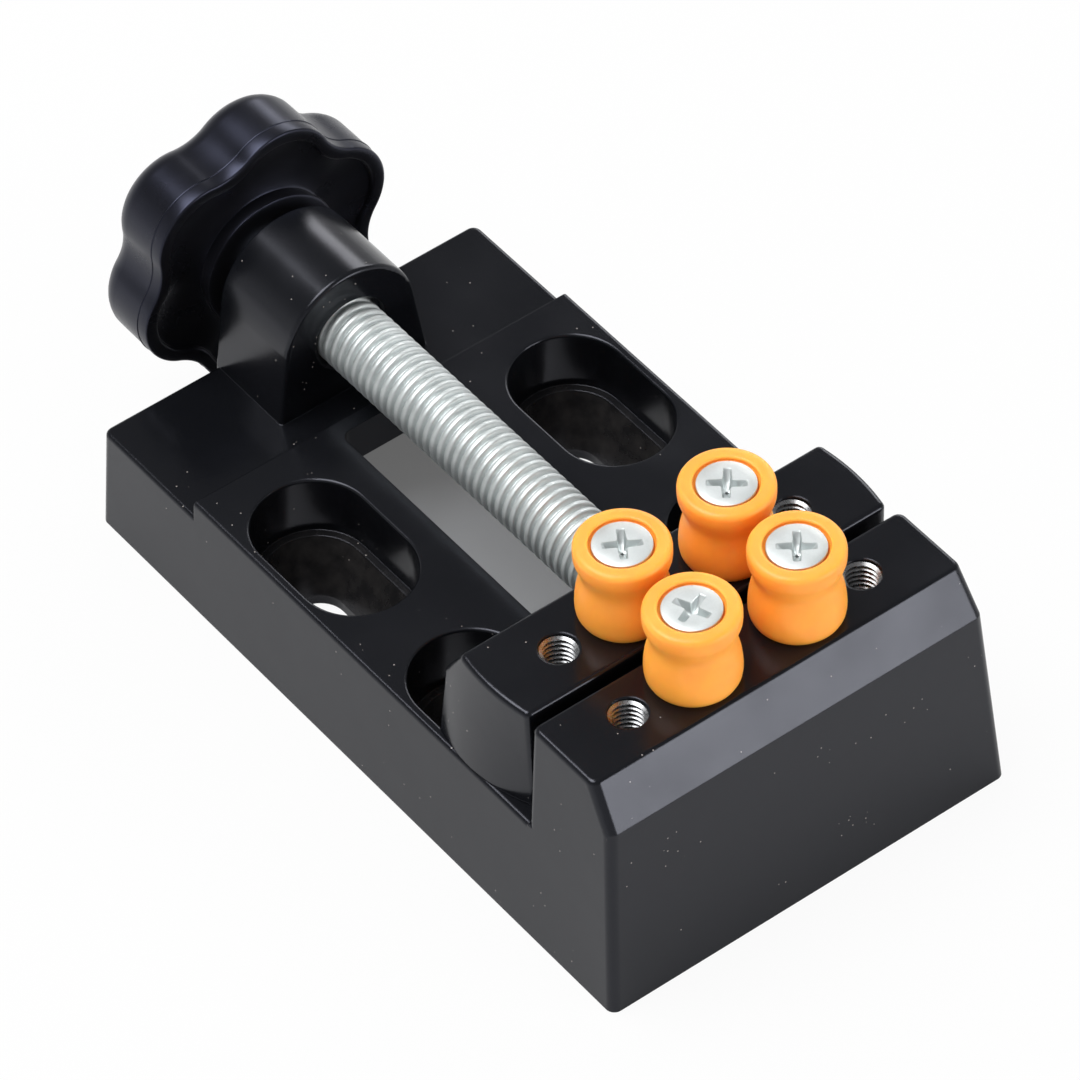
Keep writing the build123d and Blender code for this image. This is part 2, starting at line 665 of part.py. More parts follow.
# Spool pegs and the screws that hold them, one pair over the middle of each jaw
for jaw_name, peg_x in (("moving", moving_tap_x), ("fixed", fixed_tap_x)):
    for side_name, side in (("left", 1), ("right", -1)):
        peg_y = side * tap_inner_spacing / 2
        peg_plane = Plane(origin=(peg_x, peg_y, jaw_height), x_dir=(1, 0, 0), z_dir=(0, -1, 0))
        peg_axis = Axis((peg_x, peg_y, 0), (0, 0, 1))
        seat_radius = peg_screw_diameter / 2 + peg_bore_clearance
        head_radius = peg_head_diameter / 2
        seat_rim = peg_head_top - peg_head_edge + peg_seat_clearance
        seat_foot = seat_rim - (peg_recess_diameter / 2 - seat_radius) / peg_cone_slope
        with BuildPart() as peg:
            with BuildSketch(peg_plane):
                with BuildLine():
                    Polyline(
                        (peg_top_diameter / 2, peg_top_height),
                        (peg_top_diameter / 2, peg_height),
                        (peg_recess_diameter / 2, peg_height),
                        (peg_recess_diameter / 2, seat_rim),
                        (seat_radius, seat_foot),
                        (seat_radius, 0),
                        (peg_foot_diameter / 2, 0),
                    )
                    Spline(
                        (peg_foot_diameter / 2, 0),
                        (peg_base_diameter / 2, peg_base_height),
                        (peg_waist_diameter / 2, peg_waist_height),
                        (peg_top_diameter / 2, peg_top_height),
                        tangents=((1, 1), (0, 1)),
                    )
                make_face()
            revolve(axis=peg_axis)
            peg_rim = peg.edges().filter_by(GeomType.CIRCLE).group_by(Axis.Z)[-1].sort_by(SortBy.RADIUS)[-1]
            fillet(peg_rim, radius=peg_edge_radius)
        peg.part.label = jaw_name + "_peg_" + side_name
        export_step(peg.part, "parts/" + jaw_name + "_peg_" + side_name + ".step")

        shank_radius = peg_screw_diameter / 2
        shank_foot = peg_head_top - peg_screw_length
        cone_foot = peg_head_top - peg_head_edge - peg_head_cone
        thread_points = thread_outline(
            -cone_foot, -shank_foot, shank_radius, peg_thread_depth, peg_thread_pitch
        )
        with BuildPart() as peg_screw:
            with BuildSketch(peg_plane):
                with BuildLine():
                    Polyline(
                        (0, peg_head_top),
                        (head_radius, peg_head_top),
                        (head_radius, peg_head_top - peg_head_edge),
                        (shank_radius, cone_foot),
                        *[(radius, -depth) for depth, radius in thread_points],
                        (0, shank_foot),
                        close=True,
                    )
                make_face()
            revolve(axis=peg_axis)
            with BuildSketch(Plane.XY.offset(jaw_height + peg_head_top)):
                with Locations((peg_x, peg_y)):
                    Rectangle(cross_length, cross_width)
                    Rectangle(cross_width, cross_length)
            extrude(amount=-cross_depth, taper=cross_draft, mode=Mode.SUBTRACT)
        peg_screw.part.label = jaw_name + "_peg_screw_" + side_name
        export_step(peg_screw.part, "parts/" + jaw_name + "_peg_screw_" + side_name + ".step")
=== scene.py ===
"""Mini bench vise: painted castings, rolled lead screw, star knob and spool pegs."""

import json
import math

import bmesh
import bpy
from mathutils import Matrix, Vector


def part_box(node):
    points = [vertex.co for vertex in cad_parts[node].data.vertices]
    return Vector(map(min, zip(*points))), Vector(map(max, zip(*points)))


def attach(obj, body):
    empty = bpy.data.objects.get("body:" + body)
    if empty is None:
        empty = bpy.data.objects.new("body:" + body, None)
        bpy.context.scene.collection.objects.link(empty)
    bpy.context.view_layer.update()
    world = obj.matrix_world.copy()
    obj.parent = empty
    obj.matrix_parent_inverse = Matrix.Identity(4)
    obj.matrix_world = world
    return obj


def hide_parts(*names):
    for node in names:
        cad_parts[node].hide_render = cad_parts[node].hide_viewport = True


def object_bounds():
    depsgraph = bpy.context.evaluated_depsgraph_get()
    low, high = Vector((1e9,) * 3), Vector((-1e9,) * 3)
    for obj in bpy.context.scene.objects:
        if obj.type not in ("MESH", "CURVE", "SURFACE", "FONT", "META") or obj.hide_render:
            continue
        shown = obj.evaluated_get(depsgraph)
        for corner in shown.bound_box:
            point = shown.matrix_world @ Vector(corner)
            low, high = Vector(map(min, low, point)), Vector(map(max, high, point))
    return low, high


bl_info = {
    "name": "Mini Bench Vise",
    "version": (1, 0, 0),
    "blender": (4, 5, 0),
    "location": "View3D > Sidebar > Vise",
    "description": "Builds a mini bench vise around its packed frame",
    "category": "Add Mesh",
}

MM = 0.001
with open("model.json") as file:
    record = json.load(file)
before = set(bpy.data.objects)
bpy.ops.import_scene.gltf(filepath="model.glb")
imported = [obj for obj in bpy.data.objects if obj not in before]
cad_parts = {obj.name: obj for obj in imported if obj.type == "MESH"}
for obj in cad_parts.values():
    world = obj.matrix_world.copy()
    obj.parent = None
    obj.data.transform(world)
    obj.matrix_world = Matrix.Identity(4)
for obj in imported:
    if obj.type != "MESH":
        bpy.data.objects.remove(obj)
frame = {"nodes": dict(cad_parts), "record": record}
cad_low, cad_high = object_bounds()

# Height of the lead screw's axis, from the round knob cap about it
SCREW_Z = sum(corner.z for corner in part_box("knob_cap")) / 2
# Turns a piece that was made about Z onto the lead screw's axis
ONTO_SCREW = Matrix.Translation((0, 0, SCREW_Z)) @ Matrix.Rotation(math.pi / 2, 4, "Y")

# Places along X in millimetres: the back of the knob's hub, which faces the boss, and of its star
HUB_BACK = -56.8
STAR_BACK = -58.2

# Each peg with the turn of its screw's cross recess, in degrees, as the photograph shows it
PEG_TURNS = {"moving_peg_left": 50, "moving_peg_right": 58, "fixed_peg_left": 52, "fixed_peg_right": 20}

# The camera that was fitted to the photograph: degrees, millimetres and pixels
CAMERA_ANGLES = {"azimuth": 54.4023, "elevation": 46.6317, "roll": -2.6211}
CAMERA_DISTANCE = 936.687
CAMERA_TARGET = (7.02, -5.552, 29.1123)
FOCAL_PIXELS = 7605.49
FRAME_PIXELS = 1080
SENSOR_MM = 36


def hex_linear(code):
    """An sRGB hex value as linear red, green, blue and alpha."""
    channels = [int(code[i : i + 2], 16) / 255 for i in (1, 3, 5)]
    return [c / 12.92 if c <= 0.04045 else ((c + 0.055) / 1.055) ** 2.4 for c in channels] + [1.0]


def add_node(tree, kind, inputs=None, stops=(), **settings):
    """Adds a node; an input takes a value, a socket, or a node, whose first output in use feeds it.

    stops are a colour ramp's positions, each with its grey or colour.
    """
    node = tree.nodes.new(kind)
    for name, value in settings.items():
        setattr(node, name, value)
    for name, value in (inputs or {}).items():
        if isinstance(value, bpy.types.Node):
            value = next(socket for socket in value.outputs if socket.enabled)
        if isinstance(value, bpy.types.NodeSocket):
            tree.links.new(value, node.inputs[name])
        else:
            node.inputs[name].default_value = value
    if stops:
        elements = node.color_ramp.elements
        while len(elements) < len(stops):
            elements.new(0.5)
        for element, (position, colour) in zip(elements, stops):
            element.position = position
            element.color = colour if isinstance(colour, (list, tuple)) else (colour, colour, colour, 1.0)
    return node


def new_material(name):
    """An empty node material with its tree and the object's own coordinates."""
    material = bpy.data.materials.new(name)
    material.use_nodes = True
    tree = material.node_tree
    tree.nodes.clear()
    return material, tree, add_node(tree, "ShaderNodeTexCoord").outputs["Object"]


def per_metre(size_mm):
    """The scale of a pattern whose features are so many millimetres apart."""
    return 1 / (size_mm * MM)


def inside_box(tree, place, spans, soft_mm, mirrored=False):
    """A share that is 1 inside a box and 0 outside it; spans give middle and half width in millimetres.

    soft_mm is the width of the box's soft sides. mirrored repeats the box across the object's middle planes.
    """
    spot = add_node(tree, "ShaderNodeSeparateXYZ", {"Vector": place})
    share = 1.0
    for axis, (middle, half) in spans.items():
        along = spot.outputs[axis]
        if mirrored:
            along = add_node(tree, "ShaderNodeMath", {0: along}, operation="ABSOLUTE")
        away = add_node(tree, "ShaderNodeMath", {0: along, 1: middle * MM}, operation="SUBTRACT")
        distance = add_node(tree, "ShaderNodeMath", {0: away}, operation="ABSOLUTE")
        side = add_node(
            tree,
            "ShaderNodeMapRange",
            {"Value": distance, "From Min": half * MM, "From Max": (half - soft_mm) * MM},
        )
        share = add_node(tree, "ShaderNodeMath", {0: share, 1: side}, operation="MULTIPLY")
    return share


def sprayed_paint(colour, dust):
    """Gloss paint sprayed on an aluminium casting.

    The eye gets soft orange peel over the casting's slow waves, grains of dust in patches, and a cloudy film
    of dust and scuffs in the foot of the four pockets.
    """
    material, tree, place = new_material("gloss_paint_sprayed_on_aluminium_casting")
    waves = add_node(tree, "ShaderNodeTexNoise", {"Vector": place, "Scale": per_metre(9.0), "Detail": 2.0})
    peel = add_node(tree, "ShaderNodeTexNoise", {"Vector": place, "Scale": per_metre(0.7), "Detail": 1.0})
    patches = add_node(tree, "ShaderNodeTexNoise", {"Vector": place, "Scale": per_metre(14.0), "Detail": 3.0})

    # Grains 0.2 mm across, coarser than real dust so that they show, in some cells of a 1.1 mm pattern
    grain_share = 0.09
    grains = add_node(tree, "ShaderNodeTexVoronoi", {"Vector": place, "Scale": per_metre(1.1)})
    near = add_node(
        tree, "ShaderNodeMath", {0: grains.outputs["Distance"], 1: grain_share}, operation="LESS_THAN"
    )
    chance = add_node(tree, "ShaderNodeSeparateColor", {"Color": grains.outputs["Color"]})
    kept = add_node(tree, "ShaderNodeMath", {0: chance.outputs["Red"], 1: 0.72}, operation="GREATER_THAN")
    dusty = add_node(tree, "ShaderNodeMath", {0: patches, 1: 0.5}, operation="GREATER_THAN")
    grain = add_node(tree, "ShaderNodeMath", {0: near, 1: kept}, operation="MULTIPLY")
    speck = add_node(tree, "ShaderNodeMath", {0: grain, 1: dusty}, operation="MULTIPLY")

    # The film lies in the foot of the pockets and nowhere else
    scuffs = add_node(tree, "ShaderNodeTexNoise", {"Vector": place, "Scale": per_metre(2.2), "Detail": 6.0})
    cloud = add_node(
        tree,
        "ShaderNodeMapRange",
        {"Value": scuffs, "From Min": 0.35, "From Max": 0.7, "To Min": 0.03, "To Max": 0.09},
    )
    pocket_foot = {"X": (0.0, 30.0), "Y": (20.4, 7.9), "Z": (5.3, 4.5)}
    pockets = inside_box(tree, place, pocket_foot, 0.6, mirrored=True)
    film = add_node(tree, "ShaderNodeMath", {0: cloud, 1: pockets}, operation="MULTIPLY")
    cover = add_node(tree, "ShaderNodeMath", {0: speck, 1: film}, operation="MAXIMUM")
    tint = add_node(
        tree, "ShaderNodeMix", {"Factor": cover, "A": [*colour, 1.0], "B": [*dust, 1.0]}, data_type="RGBA"
    )
    rough = add_node(
        tree,
        "ShaderNodeMapRange",
        {"Value": patches, "From Min": 0.3, "From Max": 0.7, "To Min": 0.15, "To Max": 0.25},
    )

    # Paint rounds the casting's sharp edges a little
    edge = add_node(tree, "ShaderNodeBevel", {"Radius": 0.25 * MM}, samples=6)
    slow = add_node(
        tree,
        "ShaderNodeBump",
        {"Height": waves, "Strength": 0.12, "Distance": 0.35 * MM, "Normal": edge},
    )
    fine = add_node(
        tree,
        "ShaderNodeBump",
        {"Height": peel, "Strength": 0.1, "Distance": 0.03 * MM, "Normal": slow},
    )
    shader = add_node(
        tree,
        "ShaderNodeBsdfPrincipled",
        {
            "Base Color": tint,
            "Roughness": rough,
            "Normal": fine,
            "IOR": 1.42,
            "Specular Tint": hex_linear("#EDF0FF"),
        },
    )
    add_node(tree, "ShaderNodeOutputMaterial", {"Surface": shader})
    return material


def moulded_plastic(name, colour, roughness, grain_mm, grain_height, scatter=0.0, gloss="#FFFFFF"):
    """Injection moulded plastic: one colour with a faint flow mottle and the mould's fine texture.

    The texture's grain is drawn coarser than a real mould's, so that it shows.
    """
    material, tree, place = new_material(name)
    flow = add_node(tree, "ShaderNodeTexNoise", {"Vector": place, "Scale": per_metre(6.0), "Detail": 3.0})
    texture = add_node(
        tree, "ShaderNodeTexNoise", {"Vector": place, "Scale": per_metre(grain_mm), "Detail": 2.0}
    )
    darker = [c * 0.9 for c in colour]
    tint = add_node(
        tree, "ShaderNodeValToRGB", {"Fac": flow}, stops=[(0.35, [*darker, 1.0]), (0.65, [*colour, 1.0])]
    )
    rough = add_node(
        tree,
        "ShaderNodeMapRange",
        {
            "Value": flow,
            "From Min": 0.3,
            "From Max": 0.7,
            "To Min": roughness - 0.05,
            "To Max": roughness + 0.05,
        },
    )
    bump = add_node(
        tree, "ShaderNodeBump", {"Height": texture, "Strength": 0.3, "Distance": grain_height * MM}
    )
    shader = add_node(
        tree,
        "ShaderNodeBsdfPrincipled",
        {
            "Base Color": tint,
            "Roughness": rough,
            "Normal": bump,
            "IOR": 1.45,
            "Specular Tint": hex_linear(gloss),
            "Subsurface Weight": scatter,
            "Subsurface Radius": (1.0, 0.45, 0.15),
            "Subsurface Scale": 2.5 * MM,
        },
    )
    add_node(tree, "ShaderNodeOutputMaterial", {"Surface": shader})
    return material


def satin_metal(name, colour, roughness, marks_mm):
    """Zinc plated steel or bare aluminium: pale and satin, with cloudy patches.

    Fine marks of how it was made run along the longest of marks_mm, or lie evenly where the three agree.
    """
    material, tree, place = new_material(name)
    lines = add_node(
        tree, "ShaderNodeMapping", {"Vector": place, "Scale": [per_metre(size) for size in marks_mm]}
    )
    streaks = add_node(tree, "ShaderNodeTexNoise", {"Vector": lines, "Scale": 1.0, "Detail": 2.0})
    clouds = add_node(tree, "ShaderNodeTexNoise", {"Vector": place, "Scale": per_metre(3.0), "Detail": 3.0})
    darker = [c * 0.86 for c in colour]
    tint = add_node(
        tree, "ShaderNodeValToRGB", {"Fac": clouds}, stops=[(0.3, [*darker, 1.0]), (0.7, [*colour, 1.0])]
    )
    rough = add_node(
        tree,
        "ShaderNodeMapRange",
        {
            "Value": streaks,
            "From Min": 0.3,
            "From Max": 0.7,
            "To Min": roughness - 0.06,
            "To Max": roughness + 0.08,
        },
    )
    bump = add_node(tree, "ShaderNodeBump", {"Height": streaks, "Strength": 0.12, "Distance": 0.01 * MM})
    shader = add_node(
        tree,
        "ShaderNodeBsdfPrincipled",
        {"Base Color": tint, "Roughness": rough, "Normal": bump, "Metallic": 1.0},
    )
    add_node(tree, "ShaderNodeOutputMaterial", {"Surface": shader})
    return material


def finish_piece(name, mesh, material, body, replaced=(), sharp=35):
    """Makes a mesh into a named piece of one finish that moves with its body.

    Edges that bend by more than sharp degrees stay sharp.
    """
    mesh.materials.append(material)
    for polygon in mesh.polygons:
        polygon.use_smooth = True
    mesh.set_sharp_from_angle(angle=math.radians(sharp))
    piece = bpy.data.objects.new(name, mesh)
    bpy.context.scene.collection.objects.link(piece)
    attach(piece, body)
    if replaced:
        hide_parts(*replaced)


def lofted(mesh_work, loops, closed=False, first_cap=False, last_cap=False):
    """Skins loops of equally many points into a bmesh; closed joins the last loop to the first."""
    rings = [[mesh_work.verts.new(point) for point in loop] for loop in loops]
    pairs = list(zip(rings, rings[1:])) + ([(rings[-1], rings[0])] if closed else [])
    count = len(rings[0])
    for a, b in pairs:
        for i in range(count):
            j = (i + 1) % count
            mesh_work.faces.new((a[i], a[j], b[j], b[i]))
    if first_cap:
        mesh_work.faces.new(list(reversed(rings[0])))
    if last_cap:
        mesh_work.faces.new(rings[-1])
    return rings


def circle(radius, count):
    """Points of a circle as pairs."""
    angles = (2 * math.pi * i / count for i in range(count))
    return [(radius * math.cos(angle), radius * math.sin(angle)) for angle in angles]


def to_mesh(mesh_work, name):
    """Closes a bmesh into a mesh with its faces turned outwards."""
    bmesh.ops.recalc_face_normals(mesh_work, faces=mesh_work.faces)
    mesh = bpy.data.meshes.new(name)
    mesh_work.to_mesh(mesh)
    mesh_work.free()
    return mesh


def wound_skin(mesh_work, columns, samples, inward=False):
    """Skins a thread's upright columns of vertices; samples is one pitch, by which the last meets the first."""
    around = len(columns)
    for step, here in enumerate(columns):
        there = columns[(step + 1) % around]
        shift = samples if step == around - 1 else 0
        for i in range(len(here) - 1):
            k = i + shift
            if k + 1 < len(there):
                corners = (here[i], there[k], there[k + 1], here[i + 1])
                mesh_work.faces.new(corners[:1] + corners[:0:-1] if inward else corners)


def helix_thread(mesh_work, start, end, major, minor, pitch, profile, around):
    """A rolled external thread along +Z from start to end, its flanks following one helix, with flat ends.

    profile lists share of the pitch and share of the depth.
    """
    # A pitch and a half more at either end, which the flat cuts take off
    turns = int((end - start) / pitch) + 3
    base = start - 1.5 * pitch
    columns = []
    for step in range(around):
        angle = 2 * math.pi * step / around
        column = []
        for turn in range(turns):
            for share, depth in profile:
                radius = minor + (major - minor) * depth
                height = base + (turn + share + step / around) * pitch
                spot = (radius * math.cos(angle), radius * math.sin(angle), height)
                column.append(mesh_work.verts.new(spot))
        columns.append(column)
    wound_skin(mesh_work, columns, len(profile))
    for height, normal in ((start, (0, 0, -1)), (end, (0, 0, 1))):
        geometry = mesh_work.verts[:] + mesh_work.edges[:] + mesh_work.faces[:]
        cut = bmesh.ops.bisect_plane(
            mesh_work, geom=geometry, plane_co=(0, 0, height), plane_no=normal, clear_outer=True
        )
        rim = [item for item in cut["geom_cut"] if isinstance(item, bmesh.types.BMEdge)]
        bmesh.ops.contextual_create(mesh_work, geom=rim)


def lathe(mesh_work, profile, around):
    """A turned solid about Z from (radius, height) pairs; one that starts and ends at radius 0 is closed."""
    rings = []
    for radius, height in profile:
        if radius < 1e-9:
            rings.append([mesh_work.verts.new((0, 0, height))])
        else:
            rings.append([mesh_work.verts.new((x, y, height)) for x, y in circle(radius, around)])
    for a, b in zip(rings, rings[1:]):
        for i in range(around):
            j = (i + 1) % around
            corners = (a[i % len(a)], a[j % len(a)], b[j % len(b)], b[i % len(b)])
            unique = list(dict.fromkeys(corners))
            if len(unique) > 2:
                mesh_work.faces.new(unique)


class ViseFinishes(bpy.types.PropertyGroup):
    """Colours of the vise's finishes."""

    paint: bpy.props.FloatVectorProperty(
        name="Casting paint",
        description="Gloss paint of the two castings",
        default=hex_linear("#0D0E11")[:3],
        subtype="COLOR",
        min=0,
        max=1,
    )
    dust: bpy.props.FloatVectorProperty(
        name="Dust",
        description="Grains and film of dust on the paint",
        default=hex_linear("#8A8480")[:3],
        subtype="COLOR",
        min=0,
        max=1,
    )
    knob: bpy.props.FloatVectorProperty(
        name="Knob",
        description="Moulded plastic of the star knob and its cap",
        default=hex_linear("#0D0D0F")[:3],
        subtype="COLOR",
        min=0,
        max=1,
    )
    peg: bpy.props.FloatVectorProperty(
        name="Pegs",
        description="Moulded plastic of the spool pegs",
        default=hex_linear("#FFA43E")[:3],
        subtype="COLOR",
        min=0,
        max=1,
    )
    zinc: bpy.props.FloatVectorProperty(
        name="Zinc plating",
        description="Plating of the lead screw and the small screws",
        default=hex_linear("#DCE1E1")[:3],
        subtype="COLOR",
        min=0,
        max=1,
    )


class ViseSizes(bpy.types.PropertyGroup):
    """Sizes of the pieces that are shaped here."""

    lead_major: bpy.props.FloatProperty(
        name="Lead screw diameter",
        description="Over the crests of the lead screw's thread",
        default=9.6 * MM,
        unit="LENGTH",
    )
    lead_minor: bpy.props.FloatProperty(
        name="Lead screw root",
        description="In the roots of the lead screw's thread",
        default=8.3 * MM,
        unit="LENGTH",
    )
    lead_pitch: bpy.props.FloatProperty(
        name="Lead screw pitch",
        description="Advance of the lead screw in one turn",
        default=1.5 * MM,
        unit="LENGTH",
    )
    tap_pitch: bpy.props.FloatProperty(
        name="Small thread pitch",
        description="Pitch of the peg screws and the tapped holes",
        default=0.8 * MM,
        unit="LENGTH",
    )
    peg_head: bpy.props.FloatProperty(
        name="Peg screw head",
        description="Diameter of the countersunk heads",
        default=7.56 * MM,
        unit="LENGTH",
    )
    cross_span: bpy.props.FloatProperty(
        name="Cross recess",
        description="Width of the cross recess from tip to tip",
        default=5.1 * MM,
        unit="LENGTH",
    )


class VISE_OT_paint_castings(bpy.types.Operator):
    """Sprays the body and the moving jaw and finishes the hidden small parts."""

    bl_idname = "vise.paint_castings"
    bl_label = "Paint Castings"

    def execute(self, context):
        finishes = context.scene.vise_finishes
        paint = sprayed_paint(finishes.paint, finishes.dust)
        # Turned and plated: satin, with fine upright marks
        zinc = satin_metal(
            "zinc_plated_steel_turned", finishes.zinc, roughness=0.36, marks_mm=(0.25, 0.25, 4.0)
        )
        for name, node in frame["nodes"].items():
            wanted = paint if name in ("vise_body", "moving_jaw") else zinc
            node.data.materials.clear()
            node.data.materials.append(wanted)
        return {"FINISHED"}


class VISE_OT_lead_screw(bpy.types.Operator):
    """Rolls the lead screw's thread and turns its neck and head."""

    bl_idname = "vise.lead_screw"
    bl_label = "Lead Screw"

    def execute(self, context):
        sizes = context.scene.vise_sizes
        # Rolled and plated: pale and soft, with fine marks along the screw
        steel = satin_metal(
            "zinc_plated_steel_rolled_thread",
            context.scene.vise_finishes.zinc,
            roughness=0.54,
            marks_mm=(4.0, 0.3, 0.3),
        )
        low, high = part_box("lead_screw")
        head_start, neck_end = low.x, high.x
        head_end = head_start + 6.4 * MM
        head_flats = 17.0 * MM
        thread_start = HUB_BACK * MM
        shoulder = neck_end - 11.2 * MM
        groove = shoulder + 3.3 * MM
        groove_end = groove + 2.7 * MM
        root = sizes.lead_minor / 2
        neck = 3.9 * MM
        groove_root = 2.9 * MM
        chamfer = 0.6 * MM
        # Broad rounded crests and a narrow root, as a rolled thread has
        profile = [
            (0.0, 0.0), (0.06, 0.02), (0.16, 0.5), (0.24, 0.85), (0.34, 0.97),
            (0.5, 1.0), (0.66, 0.97), (0.76, 0.85), (0.84, 0.5), (0.94, 0.02),
        ]
        work = bmesh.new()
        helix_thread(
            work, thread_start, shoulder, sizes.lead_major / 2, root, sizes.lead_pitch, profile, around=72
        )
        # Plain shank in the knob
        lathe(work, [(0, head_end), (root, head_end), (root, thread_start), (0, thread_start)], around=48)
        # Neck in the moving jaw, with the groove for the retaining screw
        neck_profile = [
            (0, shoulder),
            (neck, shoulder),
            (neck, groove),
            (groove_root, groove),
            (groove_root, groove_end),
            (neck, groove_end),
            (neck, neck_end - chamfer),
            (neck - chamfer, neck_end),
            (0, neck_end),
        ]
        lathe(work, neck_profile, around=48)
        corner = head_flats / 2 / math.cos(math.pi / 6)
        hexagon = [(corner * math.cos(math.pi / 3 * i), corner * math.sin(math.pi / 3 * i)) for i in range(6)]
        lofted(
            work,
            [[(x, y, head_start) for x, y in hexagon], [(x, y, head_end) for x, y in hexagon]],
            first_cap=True,
            last_cap=True,
        )
        bmesh.ops.transform(work, matrix=ONTO_SCREW, verts=work.verts)
        name = "lead_screw_rolled"
        finish_piece(name, to_mesh(work, name), steel, "screw", ("lead_screw",), sharp=50)
        return {"FINISHED"}


class VISE_OT_star_knob(bpy.types.Operator):
    """Moulds the star knob with its hub, rim and parting line, and its cap."""

    bl_idname = "vise.star_knob"
    bl_label = "Star Knob"

    def execute(self, context):
        # Black nylon: broad soft highlights with a blue cast, broken by a fine grain
        plastic = moulded_plastic(
            "black_nylon_moulded",
            context.scene.vise_finishes.knob,
            roughness=0.3,
            grain_mm=0.5,
            grain_height=0.02,
            gloss="#CDD4FF",
        )
        # The star in millimetres: round lobes, joined by round hollows that touch them
        tip, valley, lobe, lobes = 19.55, 17.0, 8.15, 6
        turn = math.radians(14.3)
        half = math.pi / lobes
        lobe_centre = tip - lobe
        reach = lobe_centre**2 + valley**2 - 2 * lobe_centre * valley * math.cos(half)
        hollow = (reach - lobe**2) / (2 * lobe - 2 * valley + 2 * lobe_centre * math.cos(half))
        hollow_centre = valley + hollow
        join_y = hollow_centre * math.sin(half) * lobe / (lobe + hollow)
        join_x = lobe_centre + (hollow_centre * math.cos(half) - lobe_centre) * lobe / (lobe + hollow)
        join = math.atan2(join_y, join_x)

        def outline(angle):
            """Radius of the star at an angle, in millimetres."""
            from_tip = (angle - turn + half) % (2 * half) - half
            if abs(from_tip) > join:
                from_valley = half - abs(from_tip)
                inside = hollow**2 - (hollow_centre * math.sin(from_valley)) ** 2
                return hollow_centre * math.cos(from_valley) - math.sqrt(inside)
            inside = lobe**2 - (lobe_centre * math.sin(from_tip)) ** 2
            return lobe_centre * math.cos(from_tip) + math.sqrt(inside)

        angles = [2 * math.pi * i / 360 for i in range(360)]

        def star(inset, x):
            """One loop of the star, inset from its outline."""
            points = []
            for a in angles:
                radius = outline(a) - inset
                points.append(Vector((x, radius * math.cos(a), radius * math.sin(a))))
            return points

        def ring(radius, x):
            """One round loop."""
            return [Vector((x, radius * math.cos(a), radius * math.sin(a))) for a in angles]

        back = STAR_BACK
        front = back - 10.8
        bore, head_pocket, head_seat = 4.88, 9.95, front + 8.2
        cap_pocket, cap_seat = 11.1, front + 1.8
        back_round, front_round = 0.3, 3.4
        # From the bore over the hub, the dished back, the rim and the front into the seats of cap and head
        loops = [ring(bore, HUB_BACK), ring(9.7, HUB_BACK), ring(10.0, HUB_BACK - 0.15)]
        loops += [ring(10.08, HUB_BACK - 0.5), ring(9.8, back - 0.75), ring(10.1, back - 0.9)]
        loops += [star(2.3, back - 0.9), star(2.05, back - 0.75), star(1.95, back - 0.3)]
        loops += [star(1.75, back - 0.06), star(1.6, back), star(back_round + 0.05, back)]
        loops += [
            star(back_round - back_round * math.sin(a), back - back_round + back_round * math.cos(a))
            for a in (math.radians(degrees) for degrees in (30, 60, 90))
        ]
        # The mould's parting line stands 0.1 mm proud of the side
        loops += [star(0.0, back - 1.9), star(-0.08, back - 1.96), star(-0.1, back - 2.06)]
        loops += [star(0.0, back - 2.15), star(0.0, back - 5.0), star(0.02, front + front_round)]
        loops += [
            star(front_round - front_round * math.cos(a), front + front_round - front_round * math.sin(a))
            for a in (math.radians(degrees) for degrees in range(10, 91, 10))
        ]
        loops += [ring(cap_pocket + 0.3, front), ring(cap_pocket + 0.1, front + 0.06)]
        loops += [ring(cap_pocket, front + 0.3), ring(cap_pocket, cap_seat)]
        loops += [ring(head_pocket, cap_seat), ring(head_pocket, head_seat), ring(bore, head_seat)]
        placed = [[(p.x * MM, p.y * MM, p.z * MM + SCREW_Z) for p in loop] for loop in loops]
        work = bmesh.new()
        lofted(work, placed, closed=True)
        name = "star_knob_moulded"
        finish_piece(name, to_mesh(work, name), plastic, "screw", ("star_knob",), sharp=40)

        # The cap: radius, and height over the knob's front, which its middle passes by half a millimetre
        cap_radius = 11.0
        face = [(0, -0.5), (3, -0.46), (6, -0.35), (8.5, -0.2), (10.4, -0.06), (10.85, 0.05)]
        profile = [(radius * MM, (front + height) * MM) for radius, height in [*face, (cap_radius, 0.3)]]
        cap = bmesh.new()
        lathe(cap, [*profile, (cap_radius * MM, cap_seat * MM), (0, cap_seat * MM)], around=96)
        bmesh.ops.transform(cap, matrix=ONTO_SCREW, verts=cap.verts)
        name = "knob_cap_moulded"
        finish_piece(name, to_mesh(cap, name), plastic, "screw", ("knob_cap",), sharp=40)
        return {"FINISHED"}


